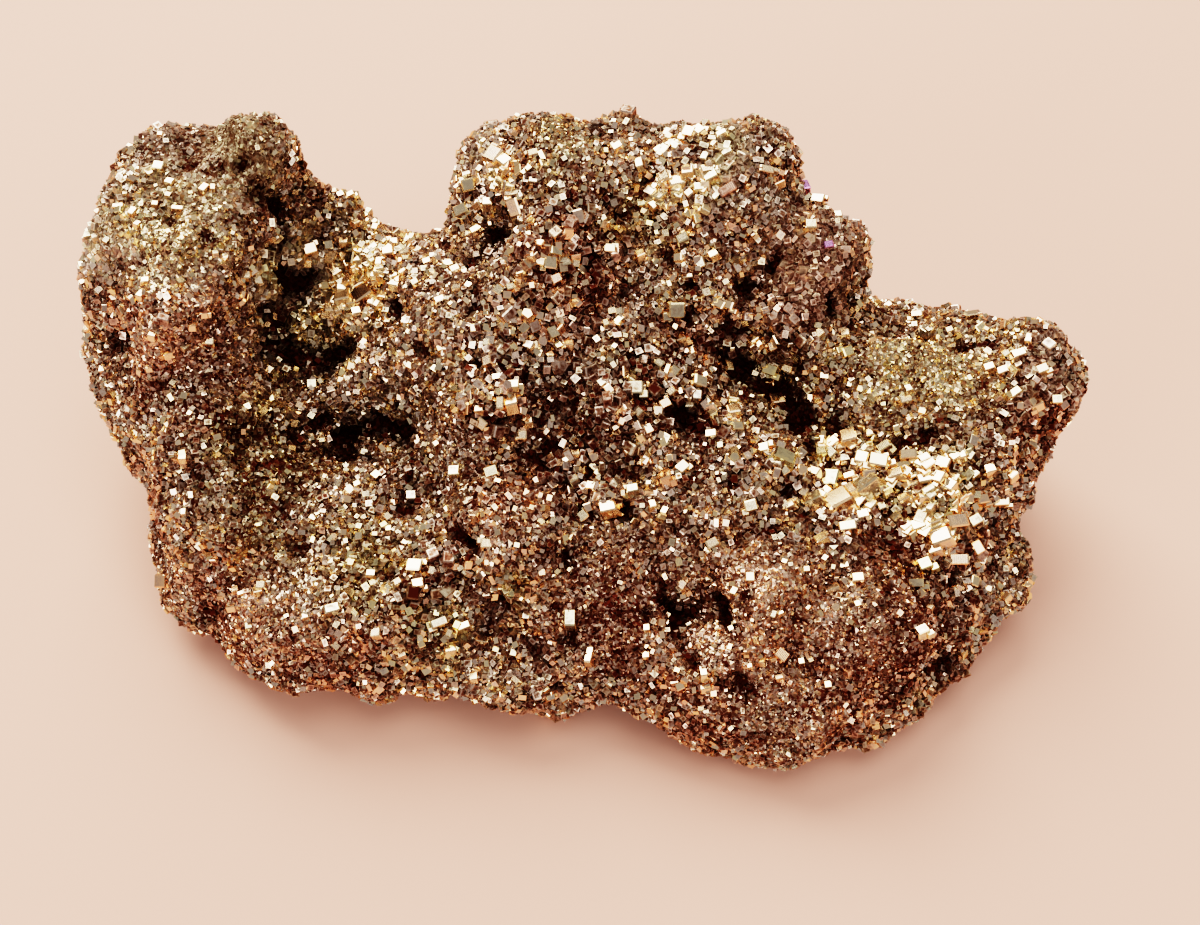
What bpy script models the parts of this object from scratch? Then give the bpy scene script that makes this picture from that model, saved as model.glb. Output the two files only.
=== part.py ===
"""Pyrite specimen: one lumpy mass of intergrown crystals that rests on its own underside.

The mass is a wedge, low along the front (-Y) and high at the back (+Y). A tall tower stands
at its left end, a broad crown with two tops in the middle, and a lower wing runs out to the
right. An open notch parts the tower from the crown. The mineral grew as one piece, so it is
one solid: rounded lobes are fused, hollowed by the caves between them, roughened, and the
lowest lumps are cut flat where the specimen rests.

Metres, +Z up. The origin is the middle of the bounding box, on the resting face.
"""
import math

import bmesh
import bpy
from mathutils import Euler, Matrix, Vector

# ---- driving dimensions -------------------------------------------------------------
MM = 0.001
LENGTH = 86.5 * MM      # X, from the tower's left flank to the knob of the right wing
DEPTH = 50.0 * MM       # Y, from the front lip to the back of the tower
HEIGHT = 35.0 * MM      # Z, from the resting face to the top of the tower
BASE_CUT = 1.5 * MM     # how much of the lowest lumps the resting face takes off

# ---- how rough the surface is ---------------------------------------------------------
BROAD_LUMP_SIZE = 10.0 * MM
BROAD_LUMP_SWING = 4.5 * MM
SMALL_LUMP_SIZE = 4.5 * MM
SMALL_LUMP_SWING = 2.8 * MM
LUMP_OCTAVES = 2
GRID_FUSE = 1.1 * MM    # grid that fuses the lobes into one skin
GRID_FINISH = 1.0 * MM  # grid that clears the folds the lumps make
SOFTEN_JOINS = 8        # rounds of smoothing where the lobes meet
SOFTEN_FOLDS = 1
TRIANGLES = 7600        # what the skin is thinned to before it is cut flat
LOBE_SUBDIVISIONS = 4
CAVE_SUBDIVISIONS = 3

PYRITE_COLOUR = (0.46, 0.33, 0.15, 1.0)
PYRITE_ROUGHNESS = 0.38
PYRITE_METALLIC = 0.9

# ---- the lobes: centre and radii along X, Y and Z, in millimetres ----------------------
LEFT_TOWER = {
    "peak": ((-27.5, 18, 29.5), (5, 5, 5)),
    "left_shoulder": ((-35, 17, 27.5), (4, 5, 4.5)),
    "crest": ((-32.5, 17.5, 27.5), (6, 6, 6)),
    "trunk": ((-33, 12.5, 22.5), (8.5, 9, 9.5)),
    "belly": ((-33.5, 8, 18), (8.5, 8.5, 11)),
    "inner_side": ((-27.5, 16, 21.5), (6, 6.5, 8)),
    "back": ((-32, 16.5, 14.5), (9.5, 8, 14)),
    "foot": ((-32, 3, 12.5), (8, 8, 10)),
}
LEFT_FRONT = {
    "flank": ((-30, -4, 8.5), (7, 8, 8)),
    "toe": ((-31, -7.5, 4.5), (6.5, 6, 5)),
    "toe_front": ((-27, -10.5, 5), (6.5, 6, 5)),
    "apron": ((-22, -11.5, 5.5), (8, 7.5, 6)),
    "apron_middle": ((-14, -12.5, 6), (8, 8, 7)),
    "hollow_floor": ((-22, -2, 8), (10, 9, 7.5)),
}
SADDLE = {
    "knob": ((-22, 17.5, 21.5), (5, 4.5, 6)),
    "saddle": ((-17, 16, 14.5), (6.5, 7, 6.5)),
    "saddle_right": ((-12.5, 13.5, 17.5), (6, 7, 7)),
    "saddle_base": ((-19, 11, 9.5), (10, 12, 9)),
}
CROWN = {
    "left_corner": ((-8, 19, 26.5), (3.5, 4.5, 5)),
    "left": ((-5, 19, 28), (4.5, 5, 5)),
    "peak": ((-2.5, 18.5, 29), (5, 5, 5.5)),
    "right": ((2.5, 19, 28.5), (4, 4.5, 5)),
    "trunk": ((-3, 14.5, 20), (9.5, 9.5, 10)),
    "back": ((1, 16, 12.5), (12, 9, 12)),
}
RIGHT_TOP = {
    "left": ((8, 19, 27.5), (4.5, 5, 5)),
    "peak": ((13.5, 18.5, 27), (4.5, 4.5, 5)),
    "step": ((20.5, 13.5, 23), (4.5, 5, 5)),
    "trunk": ((11.5, 15.5, 19), (10, 9, 10)),
    "trunk_low": ((15, 9, 15), (9, 8, 9)),
    "back": ((15, 16, 10.5), (12, 8.5, 10)),
}
CENTRE = {
    "body": ((-8.5, 5, 14.5), (9.5, 9, 10)),
    "middle": ((4, 4, 13.5), (9, 9, 9)),
    "right": ((11, -3, 11), (9, 8, 7)),
    "front": ((-3, -7.5, 8.5), (9, 9, 8)),
    "toe": ((-3, -14, 4), (8, 7, 5)),
    "core_left": ((-14, 0, 6.5), (13, 11, 6)),
    "core_right": ((13, -3, 7), (15, 10, 7)),
}
RIGHT_WING = {
    "root": ((26, 7, 14.5), (6, 7, 7)),
    "ridge": ((31.5, 6.5, 15), (6.5, 6.5, 6.5)),
    "tip": ((37.5, 5.5, 15), (5, 5.5, 6)),
    "slope": ((30, 1, 12), (8, 7, 6.5)),
    "under": ((36, 3, 10.5), (4.5, 6, 7)),
    "back": ((28.5, 11, 7.5), (11, 9, 7)),
}
LOWER_RIGHT = {
    "ledge": ((24.5, -1, 9), (8, 8, 6.5)),
    "ledge_end": ((32, -2.5, 8), (5.5, 7, 6)),
    "end": ((32.5, -9, 7), (6, 6.5, 6)),
    "end_front": ((28, -14, 5.5), (6, 6, 5.5)),
    "bulge": ((22.5, -12.5, 7.5), (8.5, 8, 7)),
    "bulge_left": ((12, -12, 7.5), (10, 8.5, 7)),
    "lip": ((15, -19, 4.5), (9, 6, 5.5)),
    "lip_right": ((23, -18, 4.5), (6.5, 5.5, 5)),
    "lip_left": ((7.5, -18, 4.5), (5, 5, 4.5)),
}
UNDERSIDE = {
    "heel_left": ((-31, 14, 4.5), (8, 7, 6)),
    "heel_middle": ((-4, 14, 4.5), (11, 7, 6)),
    "heel_right": ((17, 13, 4.5), (9, 7, 6)),
    "heel_wing": ((30, 5, 5), (7, 7, 6)),
}
REGIONS = (LEFT_TOWER, LEFT_FRONT, SADDLE, CROWN, RIGHT_TOP, CENTRE, RIGHT_WING,
           LOWER_RIGHT, UNDERSIDE)

# ---- the caves: centre and radii in millimetres, turn about X, Y and Z in degrees ------
CAVES = {
    "groove_beside_tower": ((-23.5, 11.5, 25), (3, 6.5, 7), (20, 0, -20)),
    "recess_below_groove": ((-23, 7, 18.5), (4, 4, 4), (0, 0, 0)),
    "cave_left": ((-17.5, 0.5, 14.5), (5.5, 3.5, 3), (0, 0, 10)),
    "crown_pit": ((-7.5, 12, 26.5), (3, 3, 3.5), (0, 0, 0)),
    "crown_gap": ((5.5, 19, 34), (2, 6, 4.5), (0, 0, 0)),
    "right_pit": ((13, 3, 20.5), (4, 4, 3.5), (0, 0, -20)),
    "right_pit_low": ((17.5, 1.5, 17.5), (3, 3, 3), (0, 0, 0)),
    "lower_right_crack": ((9.5, -16, 13.5), (2.5, 5, 4), (0, 0, 25)),
}


def clear_scene():
    """Remove whatever the file opened with."""
    for obj in list(bpy.data.objects):
        bpy.data.objects.remove(obj, do_unlink=True)


def new_collection(name):
    """A new collection in the scene."""
    collection = bpy.data.collections.new(name)
    bpy.context.scene.collection.children.link(collection)
    return collection


def new_object(name, builder, collection):
    """Turn a finished bmesh into an object of that name."""
    mesh = bpy.data.meshes.new(name)
    builder.to_mesh(mesh)
    builder.free()
    obj = bpy.data.objects.new(name, mesh)
    collection.objects.link(obj)
    return obj


def ellipsoid(centre, radii, turn=(0, 0, 0)):
    """The matrix that makes a unit sphere an ellipsoid, from millimetres and degrees."""
    turned = Euler([math.radians(angle) for angle in turn]).to_matrix().to_4x4()
    stretched = Matrix.Diagonal(Vector((*radii, 1.0)))
    return Matrix.Scale(MM, 4) @ Matrix.Translation(Vector(centre)) @ turned @ stretched


def box(low, high):
    """The matrix that makes a unit cube the box between two corners."""
    low, high = Vector(low), Vector(high)
    stretched = Matrix.Diagonal((high - low).to_4d())
    return Matrix.Translation((low + high) / 2) @ stretched


def overlapping_lobes(collection):
    """Every lobe as a sphere of its own, all in one mesh."""
    builder = bmesh.new()
    for region in REGIONS:
        for centre, radii in region.values():
            bmesh.ops.create_icosphere(builder, subdivisions=LOBE_SUBDIVISIONS, radius=1.0,
                                       matrix=ellipsoid(centre, radii))
    return new_object("pyrite_cluster", builder, collection)


def add_fuse(obj, name, grid):
    """Rebuild the skin on a grid, which fuses what overlaps."""
    remesh = obj.modifiers.new(name, "REMESH")
    remesh.mode = "VOXEL"
    remesh.voxel_size = grid


def add_soften(obj, name, repeats):
    """Round the creases and the grid's steps."""
    smooth = obj.modifiers.new(name, "SMOOTH")
    smooth.factor = 0.5
    smooth.iterations = repeats


def add_lumps(obj, name, size, swing):
    """Push the skin in and out by up to half of swing, in lumps of about size."""
    lumps = bpy.data.textures.new(name, "CLOUDS")
    lumps.noise_scale = size
    lumps.noise_depth = LUMP_OCTAVES
    displace = obj.modifiers.new(name, "DISPLACE")
    displace.texture = lumps
    displace.texture_coords = "LOCAL"
    displace.mid_level = 0.5
    displace.strength = swing


def add_cut(obj, cutter):
    """Take the cutter's volume out of the object."""
    cutter.hide_render = True
    cutter.display_type = "WIRE"
    cut = obj.modifiers.new(cutter.name, "BOOLEAN")
    cut.operation = "DIFFERENCE"
    cut.solver = "EXACT"
    cut.object = cutter


def add_caves(obj, collection):
    """The hollows between the lobes that are big enough to see from a step away."""
    for name, (centre, radii, turn) in CAVES.items():
        builder = bmesh.new()
        bmesh.ops.create_icosphere(builder, subdivisions=CAVE_SUBDIVISIONS, radius=1.0,
                                   matrix=ellipsoid(centre, radii, turn))
        add_cut(obj, new_object(name, builder, collection))


def add_resting_face(obj, collection):
    """Cut the lowest lumps flat at z = 0, with a block that is wider than the specimen."""
    builder = bmesh.new()
    block = box((-LENGTH, -DEPTH, -HEIGHT), (LENGTH, DEPTH, 0.0))
    bmesh.ops.create_cube(builder, size=1.0, matrix=block)
    add_cut(obj, new_object("resting_face", builder, collection))


def apply_modifiers(obj):
    """Replace the object's mesh by its evaluated one."""
    depsgraph = bpy.context.evaluated_depsgraph_get()
    finished = bpy.data.meshes.new_from_object(obj.evaluated_get(depsgraph))
    obj.modifiers.clear()
    obj.data = finished


def thin_out(obj):
    """Bring the skin down to the triangles that a solid needs."""
    triangles = sum(len(face.vertices) - 2 for face in obj.data.polygons)
    thin = obj.modifiers.new("thin_out", "DECIMATE")
    thin.ratio = TRIANGLES / triangles
    apply_modifiers(obj)


def fit_to_size(obj):
    """Scale to the driving dimensions and sink the lowest lumps below the resting face."""
    corners = [vertex.co for vertex in obj.data.vertices]
    low = Vector([min(corner[axis] for corner in corners) for axis in range(3)])
    high = Vector([max(corner[axis] for corner in corners) for axis in range(3)])
    size = high - low
    centred = Matrix.Translation((-(low.x + high.x) / 2, -(low.y + high.y) / 2, -low.z))
    factors = Vector((LENGTH / size.x, DEPTH / size.y, (HEIGHT + BASE_CUT) / size.z, 1.0))
    sunk = Matrix.Translation((0, 0, -BASE_CUT))
    obj.data.transform(sunk @ Matrix.Diagonal(factors) @ centred)


def pyrite_material():
    """Tarnished brass-yellow metal."""
    material = bpy.data.materials.new("pyrite")
    material.use_nodes = True
    shader = material.node_tree.nodes["Principled BSDF"]
    shader.inputs["Base Color"].default_value = PYRITE_COLOUR
    shader.inputs["Roughness"].default_value = PYRITE_ROUGHNESS
    shader.inputs["Metallic"].default_value = PYRITE_METALLIC
    return material


def build_specimen():
    """The whole specimen, from lobes to resting face."""
    clear_scene()
    specimen = new_collection("pyrite_specimen")
    cutters = new_collection("cutters")

    cluster = overlapping_lobes(specimen)
    add_fuse(cluster, "fuse_lobes", GRID_FUSE)
    add_caves(cluster, cutters)
    add_fuse(cluster, "even_out", GRID_FUSE)
    add_soften(cluster, "soften_joins", SOFTEN_JOINS)
    add_lumps(cluster, "broad_lumps", BROAD_LUMP_SIZE, BROAD_LUMP_SWING)
    add_lumps(cluster, "small_lumps", SMALL_LUMP_SIZE, SMALL_LUMP_SWING)
    add_fuse(cluster, "clear_folds", GRID_FINISH)
    add_soften(cluster, "soften_folds", SOFTEN_FOLDS)
    apply_modifiers(cluster)

    thin_out(cluster)
    fit_to_size(cluster)
    add_resting_face(cluster, cutters)
    cluster.data.materials.clear()
    cluster.data.materials.append(pyrite_material())


build_specimen()
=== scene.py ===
# %% [markdown]
# # A pyrite specimen, from a plain solid to a glittering crust
#
# A pyrite cluster is one lump of iron sulphide whose whole surface is made of crystals:
# sand-fine grains on some faces, cubes the size of a pinhead on others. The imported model
# holds the lump as one plain solid at its real size. This file keeps that size and makes
# everything the eye reads as pyrite: the rough mass, its pits and cracks, some eighty
# thousand single crystals and grains, the tarnish, and the light that makes the faces flash.

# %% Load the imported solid
import math
import random

import bmesh
import bpy
import numpy as np
from mathutils import Matrix, Vector, noise
from mathutils.bvhtree import BVHTree
from mathutils.kdtree import KDTree


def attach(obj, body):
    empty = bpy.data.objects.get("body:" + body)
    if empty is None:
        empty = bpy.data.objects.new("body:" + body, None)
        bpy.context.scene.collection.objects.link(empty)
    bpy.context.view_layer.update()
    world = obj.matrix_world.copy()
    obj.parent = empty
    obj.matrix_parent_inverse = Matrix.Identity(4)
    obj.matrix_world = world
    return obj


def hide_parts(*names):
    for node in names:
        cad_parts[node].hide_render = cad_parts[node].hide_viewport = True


MM = 0.001
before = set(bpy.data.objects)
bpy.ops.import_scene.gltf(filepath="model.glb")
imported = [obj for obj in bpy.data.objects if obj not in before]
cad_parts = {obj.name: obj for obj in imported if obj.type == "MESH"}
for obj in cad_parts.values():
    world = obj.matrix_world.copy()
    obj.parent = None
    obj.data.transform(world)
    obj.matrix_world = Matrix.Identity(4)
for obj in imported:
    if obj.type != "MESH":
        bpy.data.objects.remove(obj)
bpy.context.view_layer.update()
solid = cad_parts["pyrite_cluster"]

# %% [markdown]
# ## The camera
#
# The specimen is seen from above its low front edge, from about a hand's width away, so the
# near crystals look larger than the far ones. A camera is a place, a direction and a lens.
# The lens matters as much as the place: a longer one from further off would flatten the
# lump. A 39 mm lens on a 36 mm wide sensor gives a phone's angle of view.

# %% Camera
CAMERA_HEIGHT = 103 * MM
CAMERA_FORWARD = -66.5 * MM      # in front of the specimen's middle
CAMERA_SIDE = 1.25 * MM
CAMERA_DOWN = math.radians(54)   # below the horizon
LENS = 39.0
SENSOR_WIDTH = 36.0

camera_data = bpy.data.cameras.new("camera")
camera_data.lens = LENS
camera_data.sensor_width = SENSOR_WIDTH
camera_data.sensor_fit = "HORIZONTAL"
camera_data.clip_start = 5 * MM
camera = bpy.data.objects.new("camera", camera_data)
camera.location = (CAMERA_SIDE, CAMERA_FORWARD, CAMERA_HEIGHT)
camera.rotation_euler = (math.pi / 2 - CAMERA_DOWN, 0, 0)
bpy.context.scene.collection.objects.link(camera)
bpy.context.scene.camera = camera
CAMERA_TURN = camera.rotation_euler.to_matrix()
print("camera at, mm:", [round(value / MM, 1) for value in camera.location])

# %% [markdown]
# ## Where the lamps stand
#
# The lamps stand on a dome round the specimen, each at a compass angle and a height angle.
# They are made at the end, but their places come first, because the brightest crystals are
# turned to catch the largest one, a broad window behind and to the left.

# %% Places of the lamps
LAMP_DISTANCE = 0.8
LAMPS = {                      # compass angle, height angle, disc size, brightness, colour
    "window": (112, 48, 0.70, 5.4, (1.00, 0.905, 0.775)),
    "ceiling": (0, 82, 0.50, 2.6, (1.00, 0.93, 0.82)),
    "left_fill": (222, 20, 0.40, 4.0, (1.00, 0.90, 0.82)),
    "right_fill": (315, 45, 0.35, 2.0, (1.00, 0.90, 0.82)),
}


def lamp_place(name):
    """A lamp's place on the dome."""
    compass, height = (math.radians(angle) for angle in LAMPS[name][:2])
    flat = math.cos(height)
    return Vector((flat * math.cos(compass), flat * math.sin(compass),
                   math.sin(height))) * LAMP_DISTANCE


WINDOW = lamp_place("window")
print("window at", [round(value, 2) for value in WINDOW])

# %% [markdown]
# ## Writing node trees as Python
#
# A material or a geometry tree is easier to read as sums than as a list of nodes and links.
# `Signal` wraps one output socket: adding or multiplying two signals adds the Math node for
# it. `Maker.node` makes any other node: its settings come first, then the values or links
# of its sockets.

# %% Sums on sockets
class Signal:
    """One output of a node, for use in sums."""

    def __init__(self, maker, socket):
        self.maker = maker
        self.socket = socket


def operator(operation, swapped=False):
    """What a Python operator does to a signal."""
    def add_node(self, other):
        return self.maker.maths(operation, *((other, self) if swapped else (self, other)))
    return add_node


for sign, operation in {"add": "ADD", "sub": "SUBTRACT", "mul": "MULTIPLY",
                        "truediv": "DIVIDE"}.items():
    setattr(Signal, f"__{sign}__", operator(operation))
    setattr(Signal, f"__r{sign}__", operator(operation, swapped=True))
Signal.__pow__ = operator("POWER")
Signal.__gt__ = operator("GREATER_THAN")


# %% Any node
class Maker:
    """Adds nodes to one tree."""

    def __init__(self, tree):
        self.tree = tree

    def put(self, socket, value):
        """Link a socket to a signal, or set it to a plain value."""
        if isinstance(value, Signal):
            self.tree.links.new(value.socket, socket)
        elif isinstance(value, bpy.types.NodeSocket):
            self.tree.links.new(value, socket)
        else:
            socket.default_value = value

    def node(self, kind, settings=None, inputs=None):
        """Any node: settings are its own properties, inputs its sockets by name or number."""
        made = self.tree.nodes.new(kind)
        for name, value in (settings or {}).items():
            setattr(made, name, value)
        for name, value in (inputs or {}).items():
            self.put(made.inputs[name], value)
        return made

    def signal(self, kind, output, settings=None, inputs=None):
        """A node's output, ready for sums."""
        return Signal(self, self.node(kind, settings, inputs).outputs[output])

    def maths(self, operation, *values):
        """A sum of numbers."""
        return self.signal("ShaderNodeMath", 0, {"operation": operation}, dict(enumerate(values)))

    def vector(self, operation, *values, **named):
        """A sum of vectors."""
        return self.node("ShaderNodeVectorMath", {"operation": operation},
                         {**dict(enumerate(values)), **named}).outputs[0]

    def limit(self, value):
        """Hold a signal between 0 and 1."""
        return self.signal("ShaderNodeClamp", 0, None, {"Value": value, "Min": 0.0, "Max": 1.0})

    def ramp(self, value, start, end, low=0.0, high=1.0):
        """Smoothly from low at start to high at end."""
        return self.signal("ShaderNodeMapRange", 0, {"interpolation_type": "SMOOTHSTEP"},
                           {"Value": value, "From Min": start, "From Max": end,
                            "To Min": low, "To Max": high})

    def attribute(self, name):
        """A value that the mesh carries, in a shader tree."""
        return self.signal("ShaderNodeAttribute", "Fac", {"attribute_name": name})

    def tinted(self, colour, tint, share):
        """A colour multiplied by a tint, as far as the share goes."""
        return self.signal("ShaderNodeMix", 2, {"data_type": "RGBA", "blend_type": "MULTIPLY"},
                           {0: share, 6: colour, 7: tint})

    def scale(self, stops, value):
        """A colour for each value: stops are places from 0 to 1 with their colours."""
        made = self.node("ShaderNodeValToRGB", None, {0: value})
        ramp = made.color_ramp
        while len(ramp.elements) < len(stops):
            ramp.elements.new(0.5)
        for element, (position, colour) in zip(ramp.elements, sorted(stops)):
            element.position = position
            element.color = colour
        return Signal(self, made.outputs[0])


# %% [markdown]
# ## The rough mass
#
# Under the crystals lies the mass they grew from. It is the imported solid, copied and merged
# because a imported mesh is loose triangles, then rebuilt on a fine even grid so that it has
# points enough to carry lumps and pits. Displacing such a grid is the simplest way to get
# detail on a shape with no seams.

# %% Copy the solid and rebuild it on a fine grid
SKIN_INSET = 0.40 * MM        # the crystals stand this far out of the mass
MASS_GRID = 0.46 * MM
SAME_PLACE = 0.001 * MM       # corners closer than this are one


def finished(builder, name):
    """A mesh from a bmesh that is complete."""
    mesh = bpy.data.meshes.new(name)
    builder.to_mesh(mesh)
    builder.free()
    return mesh


def new_object(name, mesh):
    """An object at the origin, in the scene."""
    obj = bpy.data.objects.new(name, mesh)
    bpy.context.scene.collection.objects.link(obj)
    return obj


def plain_mesh(obj):
    """Work out the object's modifiers and keep the result as a plain mesh."""
    depsgraph = bpy.context.evaluated_depsgraph_get()
    result = bpy.data.meshes.new_from_object(obj.evaluated_get(depsgraph))
    obj.modifiers.clear()
    obj.data = result


def even_quads(obj, grid):
    """Rebuild the object with quads of about one grid step."""
    remesh = obj.modifiers.new("even quads", "REMESH")
    remesh.mode = "VOXEL"
    remesh.voxel_size = grid
    remesh.use_smooth_shade = True
    plain_mesh(obj)


def merged_copy(source, name):
    """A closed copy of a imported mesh."""
    builder = bmesh.new()
    builder.from_mesh(source.data)
    bmesh.ops.remove_doubles(builder, verts=builder.verts, dist=SAME_PLACE)
    return new_object(name, finished(builder, name))


mass = merged_copy(solid, "pyrite_mass")
even_quads(mass, MASS_GRID)
print("mass on the grid:", len(mass.data.polygons), "quads")

# %% [markdown]
# ## Placing one by one
#
# Most pits and the largest crystals have a place of their own. It is easiest to say where
# by a point of the view, as on a sketch with a grid laid over it: x to the right and y down in
# a frame of 1200 by 925. A ray from the camera through that point finds the spot on the
# mass, so whatever is placed there sits on the surface from every side.

# %% From a point of the view to the surface
VIEW_WIDTH, VIEW_HEIGHT = 1200, 925
FOCAL = LENS / SENSOR_WIDTH * VIEW_WIDTH
STEP_INWARD = 0.005           # of the way to the middle, for a point just off the outline


def surface_tree(mesh):
    """A search tree of the mesh's faces."""
    points = [vertex.co for vertex in mesh.vertices]
    return BVHTree.FromPolygons(points, [face.vertices[:] for face in mesh.polygons])


def seen_at(tree, x, y):
    """The surface point and normal under a point of the view, or just inside the outline."""
    place = None
    while place is None:
        ray = Vector(((x - VIEW_WIDTH / 2) / FOCAL, (VIEW_HEIGHT / 2 - y) / FOCAL, -1))
        direction = CAMERA_TURN @ ray.normalized()
        place, normal, _, _ = tree.ray_cast(camera.location, direction)
        x += (VIEW_WIDTH / 2 - x) * STEP_INWARD
        y += (VIEW_HEIGHT / 2 - y) * STEP_INWARD
    return place, normal


tree = surface_tree(mass.data)
print("under the view's middle:", seen_at(tree, VIEW_WIDTH / 2, VIEW_HEIGHT / 2)[0])

# %% [markdown]
# ## Knobs, pits and cracks
#
# Real relief comes in sizes. A druse swells into knobs of a few millimetres, with smaller
# knobs on them and a sharp crease between any two, so the knobs come from Voronoi cells and
# not from soft noise. Pits and cracks are where crystals didn't meet. Each pit is a place in
# the view with a half width and a depth in millimetres, and each crack is a chain of such
# places. A little noise on the distances keeps their outlines ragged. The bulges come last:
# they are broad and low, and pull the rim in or out where a swelling changes the outline.

# %% Where the pits and cracks are
PITS = {
    "tower": ((243, 162, 1.0, 1.4), (208, 162, .8, .7), (180, 156, .7, .6), (184, 182, .7, .6),
              (170, 219, .5, .6), (140, 258, .7, .8), (211, 236, .7, .8), (150, 305, .8, .6),
              (112, 292, .8, .5), (181, 442, .7, .8), (211, 516, .5, .7)),
    "groove": ((293, 222, .9, 1.5), (272, 252, 1.0, 1.2), (290, 264, 1.1, 1.3),
               (306, 284, 1.1, 1.5), (275, 318, 1.2, 1.4), (272, 338, 1.1, 1.3),
               (310, 362, 1.1, 1.3), (349, 345, .9, 1.3), (362, 232, 1.2, 1.5),
               (392, 304, .9, 1.1), (350, 216, .9, .8)),
    "hollow": ((258, 436, 1.3, 1.0), (298, 428, 1.3, 1.1), (372, 427, .9, 1.1),
               (400, 430, .9, 1.3), (409, 458, .7, .9), (405, 505, 1.1, 1.0),
               (240, 455, 1.0, .9), (335, 466, .7, 1.0), (346, 441, .8, 1.0), (326, 421, 1.0, 1.2)),
    "crown": ((497, 236, .8, 1.3), (504, 258, .6, 1.0), (522, 166, .6, .9),
              (516, 134, .5, .8), (647, 152, .6, 1.0), (650, 182, .6, 1.0), (618, 160, .4, .6),
              (610, 131, .4, .6), (622, 216, .7, 1.0), (608, 234, .7, 1.0), (594, 254, .6, .9),
              (668, 256, .6, 1.2), (700, 197, .5, .7), (568, 198, .6, .6)),
    "crown_foot": ((694, 286, .9, 1.6), (746, 291, 1.2, 2.1), (465, 305, .9, 1.4),
                   (690, 317, .7, 1.3), (590, 263, .7, 1.2), (575, 271, .6, .8),
                   (430, 286, .6, .8), (414, 348, 1.4, 1.4), (475, 290, .6, .8)),
    "shoulder": ((775, 262, .7, 1.3), (838, 304, .9, 1.5), (856, 322, .6, .9),
                 (762, 128, .6, .8), (752, 161, .6, .7), (797, 226, .5, .7)),
    "centre": ((474, 358, .9, 1.4), (510, 362, .7, 1.1), (531, 378, .7, 1.3),
               (513, 418, .8, .9), (543, 419, .6, .9), (550, 444, .6, 1.3),
               (668, 405, .9, 1.1), (690, 412, .8, 1.0), (632, 360, .8, 1.1),
               (588, 512, 1.0, .9), (625, 509, .7, .9), (570, 557, .8, 1.3),
               (588, 474, .7, .8), (733, 475, .9, .9), (650, 392, .8, .8)),
    "step": ((742, 368, 1.0, 1.6), (757, 380, .8, 1.0), (784, 402, .7, .8),
             (796, 426, .8, 1.0), (808, 446, .7, 1.4), (792, 492, .7, 1.1), (750, 480, .7, .9)),
    "wing": ((985, 384, .6, 1.1), (920, 384, .5, .8), (932, 434, 1.0, 1.3), (906, 436, .9, .8),
             (958, 423, .5, .8), (1004, 511, .8, .9), (1062, 366, .8, .7), (1042, 396, .7, .7),
             (975, 470, .8, .8), (955, 582, .7, 1.1), (899, 591, .6, .9)),
    "left_front": ((278, 612, .7, .9), (290, 638, .8, 1.1), (240, 645, .5, .7),
                   (312, 674, .6, .9), (210, 569, .4, .7), (412, 668, .7, .8),
                   (418, 690, .7, .8), (500, 604, .8, 1.2)),
    "lower_middle": ((572, 640, .8, 1.1), (560, 690, .8, 1.5), (640, 654, .5, 1.0),
                     (645, 694, .7, 1.0), (540, 648, .7, .6), (524, 595, .5, .7)),
    "lower_right": ((732, 645, .4, .8),
                    (821, 646, .4, .8), (822, 668, .4, .7), (911, 681, .5, 1.0),
                    (948, 645, .5, .7), (702, 704, .7, 1.0), (808, 707, .4, .6),
                    (885, 664, .4, .6), (752, 696, .5, .8)),
}
CRACKS = {                     # places along the crack, then its half width and depth
    "branch_top": (((665, 585), (662, 596), (678, 606), (692, 610)), .46, 1.7),
    "branch_down": (((686, 610), (679, 630), (684, 650), (698, 672)), .48, 1.7),
    "branch_left": (((638, 608), (650, 620)), .4, 1.2),
    "branch_right": (((712, 600), (722, 622), (730, 638)), .50, 1.6),
    "branch_hole": (((746, 592), (738, 608)), .50, 1.6),
    "diagonal": (((448, 522), (460, 535), (478, 550)), .5, 1.7),
    "knob_edge": (((528, 450), (548, 464)), .45, 1.3),
    "cave": (((342, 440), (362, 429), (385, 425), (406, 436)), .8, 1.1),
    "cave_wall": (((409, 438), (412, 462), (403, 490)), .5, .9),
    "ledge": (((246, 440), (268, 426), (300, 434), (326, 422)), 1.2, .9),
    "groove_top": (((262, 190), (286, 215), (294, 245)), 1.1, 1.6),
    "groove": (((294, 245), (283, 262), (300, 285), (285, 320), (272, 342)), 1.1, 1.4),
    "recess": (((285, 345), (310, 362), (345, 348)), 1.1, 1.4),
    "step_foot": (((728, 356), (746, 374), (775, 396), (805, 414)), .9, .9),
    "centre_hollow": (((662, 388), (674, 408), (694, 420)), .8, 1.0),
    "front_seam": (((515, 588), (530, 600), (555, 612)), .5, .9),
    "lower_step": (((738, 680), (760, 702)), .45, .8),
}
BULGES = (                     # places along the rim, then a half width and a height out
    (175, 128, 3.6, -2.3), (120, 150, 1.8, 1.0), (95, 345, 2.8, -4.2),
    (96, 396, 2.4, 1.0), (76, 255, 1.6, .6),
    (148, 545, 3.2, -1.2), (195, 632, 3.6, -2.0), (345, 195, 3.4, -2.8), (408, 232, 2.8, -1.3),
    (440, 182, 1.8, .6), (487, 122, 3.4, -2.3), (610, 116, 2.4, -2.9), (828, 200, 2.6, -1.1),
    (872, 268, 2.0, 1.2), (886, 307, 3.0, -4.0), (975, 312, 4.4, -4.0), (1056, 324, 2.4, 1.3),
    (1096, 356, 1.8, -1.0), (1074, 415, 2.0, .9),
    (1040, 495, 2.2, 1.6), (1028, 568, 4.0, -4.2), (960, 686, 3.6, -2.2), (900, 738, 3.0, -.9),
    (750, 762, 2.2, -.5), (660, 742, 2.0, .5), (596, 710, 1.8, .8), (400, 695, 3.0, -1.2),
)
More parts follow.
